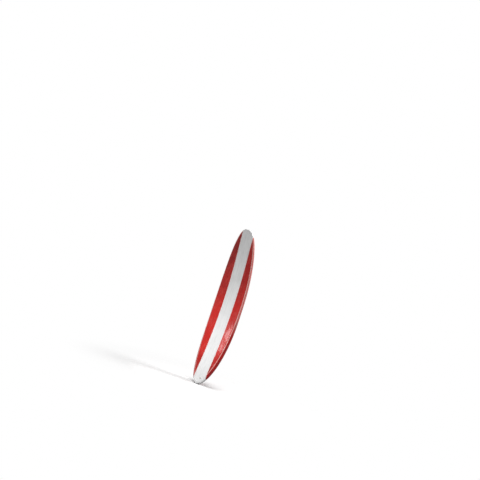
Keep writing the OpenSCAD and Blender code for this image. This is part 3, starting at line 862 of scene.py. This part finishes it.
class LONGBOARD_OT_deck(bpy.types.Operator):
    """Lay the two red panels and the white stripe of the deck."""

    bl_idname = "longboard.deck"
    bl_label = "Deck panels"

    def execute(self, context):
        board = Board(context.scene)
        red = deck_red_finish(board.colours)
        for name, side in (("right", 1), ("left", -1)):
            mesh = deck_strip(board, "deck_red_" + name, board.panel_shares(side),
                              lambda seam_x: (side * board.stripe_edge(side), side * seam_x),
                              PANEL_STEPS)
            new_piece("deck_red_" + name, mesh, red, "board", "deck_red", "deck_panel_" + name)
        hole = rod(board.fittings.cup_d / 2 + board.fittings.flange_edge, board.cup_seat())
        mesh = deck_strip(board, "deck_white_stripe", np.linspace(0, 1, RIBS),
                          lambda seam_x: (-np.minimum(seam_x, board.stripe_edge(-1)),
                                          np.minimum(seam_x, board.stripe_edge(1))),
                          STRIPE_STEPS, [hole])
        new_piece("deck_white_stripe", mesh, stripe_white_finish(board.colours, board.skins),
                  "board", "stripe_white", "deck_panel_centre")
        return {"FINISHED"}


def hull_grid(board, layer):
    """Rows of the bottom skin: each runs from the deck seam round the rail to the centre line."""
    shares = np.linspace(0, 1, RIBS)[:, None]
    seam_x, seam_z = board.seam(shares)
    edge_x, edge_z = board.plan(shares, layer[0])
    out = np.sin(np.linspace(0, math.pi / 2, UPPER_STEPS + 1))[:-1]
    upper = board.on_deck(seam_x + (edge_x - seam_x) * out, seam_z + (edge_z - seam_z) * out, layer)
    draw = 1 - np.cos(np.linspace(0, math.pi / 2, LOWER_STEPS + 1))
    x, z = board.plan(shares, layer[0] + (board.shape.board_w / 2 - layer[0]) * draw)
    return mirrored(np.concatenate([upper, board.on_bottom(x, z, layer)], axis=1))


class LONGBOARD_OT_hull(bpy.types.Operator):
    """Wrap the bottom and the rails in their laminate."""

    bl_idname = "longboard.hull"
    bl_label = "Bottom laminate"

    def execute(self, context):
        board = Board(context.scene)
        outer = hull_grid(board, board.surface)
        girth = np.concatenate([np.linspace(0, 1, UPPER_STEPS, endpoint=False),
                                np.linspace(1, 2, LOWER_STEPS + 1)])
        surface = np.stack(np.broadcast_arrays(girth, outer[..., 2]), axis=-1)
        mesh = skin("hull_red_wrap", outer, hull_grid(board, board.inside), surface, around=True,
                    closed_middle=True)
        holes = [prism(stadium(long, wide, board.fittings.flange_edge), -CLEAR, CLEAR, seat)
                 for long, wide, seat in board.box_places().values()]
        new_piece("hull_red_wrap", smoothed(cut(mesh, *holes)),
                  hull_red_finish(board.colours, board.skins), "board", "hull_red",
                  "bottom_laminate")
        return {"FINISHED"}


class LONGBOARD_OT_pinline(bpy.types.Operator):
    """Draw the resin bead over the seam."""

    bl_idname = "longboard.pinline"
    bl_label = "Pinline"

    def execute(self, context):
        board = Board(context.scene)
        skins = board.skins
        across = np.linspace(-1, 1, BEAD_STEPS)
        x, z = board.seam(np.linspace(0, 1, RIBS)[:, None], -skins.pinline_w / 2 * across)
        top, root = board.on_deck(x, z), board.on_deck(x, z)
        crown = (skins.pinline_t - skins.pinline_edge) * (1 - across ** 2)
        top[..., 1] -= skins.pinline_seat + skins.pinline_edge + crown
        root[..., 1] += skins.deck_skin / 6
        mesh = skin("pinline_bead", mirrored(top), mirrored(root), around=True)
        new_piece("pinline_bead", smoothed(mesh), pinline_finish(board.colours, skins), "board",
                  "pinline_pink", "pinline")
        return {"FINISHED"}


def fin_blade_mesh(fit, seat):
    """Foiled blade through sections from its base to a small flat at the tip."""
    q = FIN_TIP * np.sin(np.linspace(0, math.pi / 2, FIN_SECTIONS))[:, None]
    chord = fit.fin_base * (1 - fit.fin_taper * q) * np.sqrt(1 - q ** FIN_TIP_POWER)
    half = fit.fin_t / 2 * (1 - fit.fin_thinning * q)
    a = (1 - np.cos(np.linspace(0, math.pi, FOIL_POINTS + 1))) / 2
    a = np.concatenate([a, a[-2:0:-1]])
    side = np.where(np.arange(a.size) <= FOIL_POINTS, 1, -1)
    foil = np.sin(math.pi * np.clip(a, 0, 1) ** FOIL_FORWARD).clip(0) ** FOIL_FULL
    grid = spots(side * half * foil, RUN + fit.fin_h * q,
                 -fit.fin_sweep * q ** 2 + chord * (0.5 - a))
    points = placed(seat, grid.reshape(-1, 3))
    edge = np.stack(np.broadcast_arrays(np.abs(2 * a - 1), q), axis=-1).reshape(-1, 2)
    return smoothed(new_mesh("fin_blade", points, tube(*grid.shape[:2]), edge))


class LONGBOARD_OT_fin(bpy.types.Operator):
    """Build the centre fin with its tab and lug, and finish its pin and its plate."""

    bl_idname = "longboard.fin"
    bl_label = "Centre fin"

    def execute(self, context):
        board = Board(context.scene)
        fit, colours = board.fittings, board.colours
        seat = board.fin_seat()
        black = fin_black_finish(colours)
        new_piece("fin_blade", fin_blade_mesh(fit, seat), black, "fin", "fin_black", "centre_fin")
        back, front = -fit.tab_l / 2, fit.tab_l / 2
        lug_y, lug_end = RUN - fit.lip_t, board.lug_z() + fit.lug_l / 2
        outline = np.array([(-fit.tab_h, back), (-fit.tab_h, front), (lug_y, front),
                            (lug_y, lug_end), (0, lug_end), (0, back)])
        bar = rounded_bar(outline, fit.slot_w / 2 - RUN, TAB_SOFT, seat)
        lug_seat = seat @ Matrix.Translation((0, 0, board.lug_z()))
        pin_y = -fit.lip_t - fit.groove_h / 2
        pin_seat = seat @ Matrix.Translation((0, pin_y, back + fit.pin_from_end))
        mesh = cut(new_mesh("fin_tab", *bar), rod(fit.screw_d / 2 + RUN, lug_seat),
                   rod(fit.pin_d / 2, pin_seat @ Matrix.Rotation(math.pi / 2, 4, "Z")))
        new_piece("fin_tab", smoothed(mesh), black, "fin", "fin_black")
        dress(metal_finish("pin_brass", colours.brass, size=0.0004), "fin_cross_pin")
        dress(metal_finish("plate_steel", colours.steel, size=0.0008), "fin_plate_nut")
        return {"FINISHED"}


class LONGBOARD_OT_screw(bpy.types.Operator):
    """Turn the fin screw, with its domed head, cross recess and thread."""

    bl_idname = "longboard.screw"
    bl_label = "Fin screw"

    def execute(self, context):
        board = Board(context.scene)
        fit = board.fittings
        seat = board.fin_seat() @ Matrix.Translation((0, RUN, board.lug_z()))
        shank, head, tip = fit.screw_d / 2, fit.head_d / 2, -fit.screw_l
        thread = [spot for y in np.arange(tip + 2 * CHAMFER, -NECK, PITCH)
                  for spot in ((shank - THREAD, y), (shank, y + PITCH / 2))]
        arc = np.linspace(0, math.pi / 2, DOME_POINTS)
        top = np.stack([head * np.cos(arc), HEAD_EDGE + (fit.head_h - HEAD_EDGE) * np.sin(arc)],
                       axis=-1)
        profile = np.array([(0, tip), (shank - CHAMFER, tip), *thread, (shank, 0),
                            (head - BEVEL, 0), (head, BEVEL), *top])
        mesh = new_mesh("fin_screw_turned", *turned(profile, seat))
        arm = np.array([(1, 1), (-1, 1), (-1, -1), (1, -1)]) / 2
        arms = [prism(arm * size, fit.head_h - fit.recess_d, CLEAR, seat)
                for size in ((fit.recess_l, fit.recess_w), (fit.recess_w, fit.recess_l))]
        new_piece("fin_screw_turned", smoothed(cut(mesh, *arms)),
                  metal_finish("screw_steel", board.colours.steel, size=0.0005), "screw",
                  "screw_steel", "fin_screw")
        return {"FINISHED"}


def seal_mesh(name, surface_at, outlines, seat, outward):
    """Resin bead that runs down from the skin to a flange; outlines go from flange to skin."""
    share = np.linspace(0, 1, len(outlines))
    top = np.stack([np.insert(outline, 1, 0, axis=1) for outline in outlines], axis=1)
    x, y, z = np.moveaxis(placed(seat, top), -1, 0)
    rise = (surface_at(x, z)[..., 1] - y) * outward * seat[1][1]
    ease = share * share * (3 - 2 * share)
    top[..., 1] = outward * (rise * ease + SEAL_PROUD + SEAL_CROWN * 4 * share * (1 - share))
    root = top.copy()
    root[..., 1] -= outward * SEAL_DEPTH
    return smoothed(skin(name, placed(seat, top), placed(seat, root), around=True))


class LONGBOARD_OT_boxes(bpy.types.Operator):
    """Finish the three fin boxes and seal them with resin."""

    bl_idname = "longboard.boxes"
    bl_label = "Fin boxes"

    def execute(self, context):
        board = Board(context.scene)
        colours = board.colours
        dress(moulded_white_finish(colours), "fin_box", "side_fin_box_left", "side_fin_box_right")
        seal = seal_finish("seal_resin", 0.014, colours.hull_deep, colours.worn_red, dulled=0.25)
        edges = board.fittings.flange_edge + np.linspace(*BOX_SEAL)
        for name, (long, wide, seat) in board.box_places().items():
            outlines = [stadium(long, wide, edge) for edge in edges]
            mesh = seal_mesh(name, board.on_bottom, outlines, seat, 1)
            new_piece(name, mesh, seal, "board", "hull_red")
        return {"FINISHED"}


class LONGBOARD_OT_leash_plug(bpy.types.Operator):
    """Finish the leash cup and its bar, and seal the cup with resin."""

    bl_idname = "longboard.leash_plug"
    bl_label = "Leash plug"

    def execute(self, context):
        board = Board(context.scene)
        fit, colours = board.fittings, board.colours
        dress(moulded_white_finish(colours), "leash_cup")
        dress(metal_finish("bar_steel", colours.steel, size=0.0006), "leash_bar")
        ring = np.stack([np.cos(SPIN), np.sin(SPIN)], axis=-1)
        edges = fit.flange_edge + np.linspace(*CUP_SEAL)
        outlines = [ring * (fit.cup_d / 2 + edge) for edge in edges]
        mesh = seal_mesh("leash_cup_seal", board.on_deck, outlines, board.cup_seat(), -1)
        seal = seal_finish("cup_seal_resin", 0.008, colours.white, colours.grey_white, dulled=0.2)
        new_piece("leash_cup_seal", mesh, seal, "board", "stripe_white")
        return {"FINISHED"}


# Half the floor's side, and the radii between which its shade gives way to the studio's white
FLOOR_REACH = 90.0
FLOOR_FADE = (0.4, 2.4)
# Shares of the floor's colour in its grain, and as light that it throws on the object
FLOOR_GRAIN = 0.97
FLOOR_BOUNCE = 0.36
# Level of the studio's walls as light on the object; seen directly or in gloss they are white
WALL_LEVEL = 0.25
# Lamps: place, target, width, height, power in watts
LAMPS = {
    "top_softbox": ((0.8, -1.6, 26.0), (0.0, 0.0, 0.8), 6.0, 6.0, 4600.0),
    "front_softbox": ((1.6, -3.4, 1.4), (0.0, 0.0, 1.2), 1.0, 1.0, 33.0),
    "gloss_panel": ((-0.30, -1.20, 0.86), (0.2, 0.0, 0.8), 0.60, 0.32, 9.5),
    "back_softbox": ((4.2, 4.0, 7.5), (0.0, 0.1, 1.2), 3.0, 3.0, 560.0),
}


def seen_directly(tree):
    """1 for rays that show the studio itself: from the camera, in gloss or through clear things."""
    camera, gloss, clear = (tree.node("ShaderNodeLightPath", output="Is %s Ray" % kind)
                            for kind in ("Camera", "Glossy", "Transmission"))
    return camera.largest(gloss).largest(clear)


def floor_finish(pale):
    """Pale floor that keeps the shadow near the board and turns to studio white further out."""
    finish = Finish("studio_floor", IOR=1.3)
    grain = finish.noise(0.4)
    shade = finish.mix(grain * 0.3, pale, shaded(pale, FLOOR_GRAIN))
    shade = finish.mix(seen_directly(finish), shaded(pale, FLOOR_BOUNCE), shade)
    finish.done(Base_Color=shade, Roughness=0.85 + grain * 0.1)
    away = finish.node("ShaderNodeVectorMath", {0: finish.place}, "Value", operation="LENGTH")
    far = away.rising(*FLOOR_FADE) * seen_directly(finish)
    white = finish.node("ShaderNodeEmission", {"Color": (1, 1, 1), "Strength": 1.0})
    plain = Value(finish, finish.shader.outputs[0])
    both = finish.node("ShaderNodeMixShader", enumerate((far, plain, white)))
    finish.feed(finish.node_tree.nodes["Material Output"].inputs["Surface"], both)
    return finish.material


def aimed(place, target, roll=0.0):
    """Matrix of a camera or a lamp at place that looks at target."""
    look = (Vector(target) - Vector(place)).to_track_quat("-Z", "Y").to_matrix().to_4x4()
    return Matrix.Translation(place) @ look @ Matrix.Rotation(roll, 4, "Z")


class LONGBOARD_OT_stage(bpy.types.Operator):
    """Set up the floor, the walls, the lamps and the camera."""

    bl_idname = "longboard.stage"
    bl_label = "Stage"

    def execute(self, context):
        scene = context.scene
        scene.view_settings.view_transform = "Standard"
        corners = FLOOR_REACH * np.array([(-1, -1, 0), (1, -1, 0), (1, 1, 0), (-1, 1, 0)])
        mesh = bpy.data.meshes.new("studio_floor")
        mesh.from_pydata(corners.tolist(), [], [(0, 1, 2, 3)])
        mesh.materials.append(floor_finish(scene.board_finishes.floor))
        floor = new_object("studio_floor", mesh)
        self.light(scene)
        self.frame_view(scene)
        return {"FINISHED"}

    def light(self, scene):
        world = bpy.data.worlds.new("studio_walls")
        world.use_nodes = True
        scene.world = world
        walls = Tree(world.node_tree)
        background = world.node_tree.nodes["Background"].inputs
        walls.feed(background["Color"], (1, 1, 1))
        walls.feed(background["Strength"], WALL_LEVEL + (1 - WALL_LEVEL) * seen_directly(walls))
        for name, (place, target, wide, high, watts) in LAMPS.items():
            lamp = bpy.data.lights.new(name, "AREA")
            lamp.shape = "RECTANGLE"
            lamp.size, lamp.size_y, lamp.energy = wide, high, watts
            holder = new_object(name, lamp)
            holder.matrix_world = aimed(place, target)
            holder.visible_camera = False

    def frame_view(self, scene):
        view, shape = scene.studio_view, scene.board_shape
        middle = Vector((0, shape.tail_rocker / 2, shape.board_l / 2))
        level = math.cos(view.rise)
        back = Vector((math.sin(view.turn) * level, -math.cos(view.turn) * level,
                       math.sin(view.rise)))
        pixels = PICTURE * view.distance / view.span
        spot = Vector((view.spot_x - PICTURE / 2, PICTURE / 2 - view.spot_y, -pixels))
        off_axis = spot.rotation_difference(Vector((0, 0, -1))).to_matrix().to_4x4()
        lens = bpy.data.cameras.new("studio_camera")
        lens.sensor_width = SENSOR
        lens.lens = SENSOR * view.distance / view.span
        lens.clip_end = 4 * FLOOR_REACH
        camera = new_object("studio_camera", lens)
        camera.matrix_world = aimed(middle + view.distance * back, middle, view.lean) @ off_axis
        scene.camera = camera


class LONGBOARD_PT_panel(bpy.types.Panel):
    """Lists the board's sizes, colours and steps."""

    bl_idname = "LONGBOARD_PT_panel"
    bl_label = "Longboard"
    bl_space_type = "VIEW_3D"
    bl_region_type = "UI"
    bl_category = "Longboard"

    def draw(self, context):
        for group in PROPERTIES:
            box = self.layout.box()
            settings = getattr(context.scene, group)
            for name in settings.__annotations__:
                box.prop(settings, name)
        for step in STEPS:
            self.layout.operator(step.bl_idname)


PROPERTIES = {
    "board_shape": BoardShape,
    "board_skins": BoardSkins,
    "board_fittings": Fittings,
    "board_finishes": Finishes,
    "studio_view": StudioView,
}
STEPS = (LONGBOARD_OT_stage, LONGBOARD_OT_core, LONGBOARD_OT_deck, LONGBOARD_OT_hull,
         LONGBOARD_OT_pinline, LONGBOARD_OT_boxes, LONGBOARD_OT_fin, LONGBOARD_OT_screw,
         LONGBOARD_OT_leash_plug)


def register():
    for group, kind in PROPERTIES.items():
        bpy.utils.register_class(kind)
        setattr(bpy.types.Scene, group, PointerProperty(type=kind))
    for kind in (*STEPS, LONGBOARD_PT_panel):
        bpy.utils.register_class(kind)


def unregister():
    for kind in (LONGBOARD_PT_panel, *reversed(STEPS)):
        bpy.utils.unregister_class(kind)
    for group, kind in PROPERTIES.items():
        delattr(bpy.types.Scene, group)
        bpy.utils.unregister_class(kind)


def main():
    register()
    bpy.ops.longboard.stage()
    bpy.ops.longboard.core()
    bpy.ops.longboard.deck()
    bpy.ops.longboard.hull()
    bpy.ops.longboard.pinline()
    bpy.ops.longboard.boxes()
    bpy.ops.longboard.fin()
    bpy.ops.longboard.screw()
    bpy.ops.longboard.leash_plug()


if __name__ == "__main__":
    main()
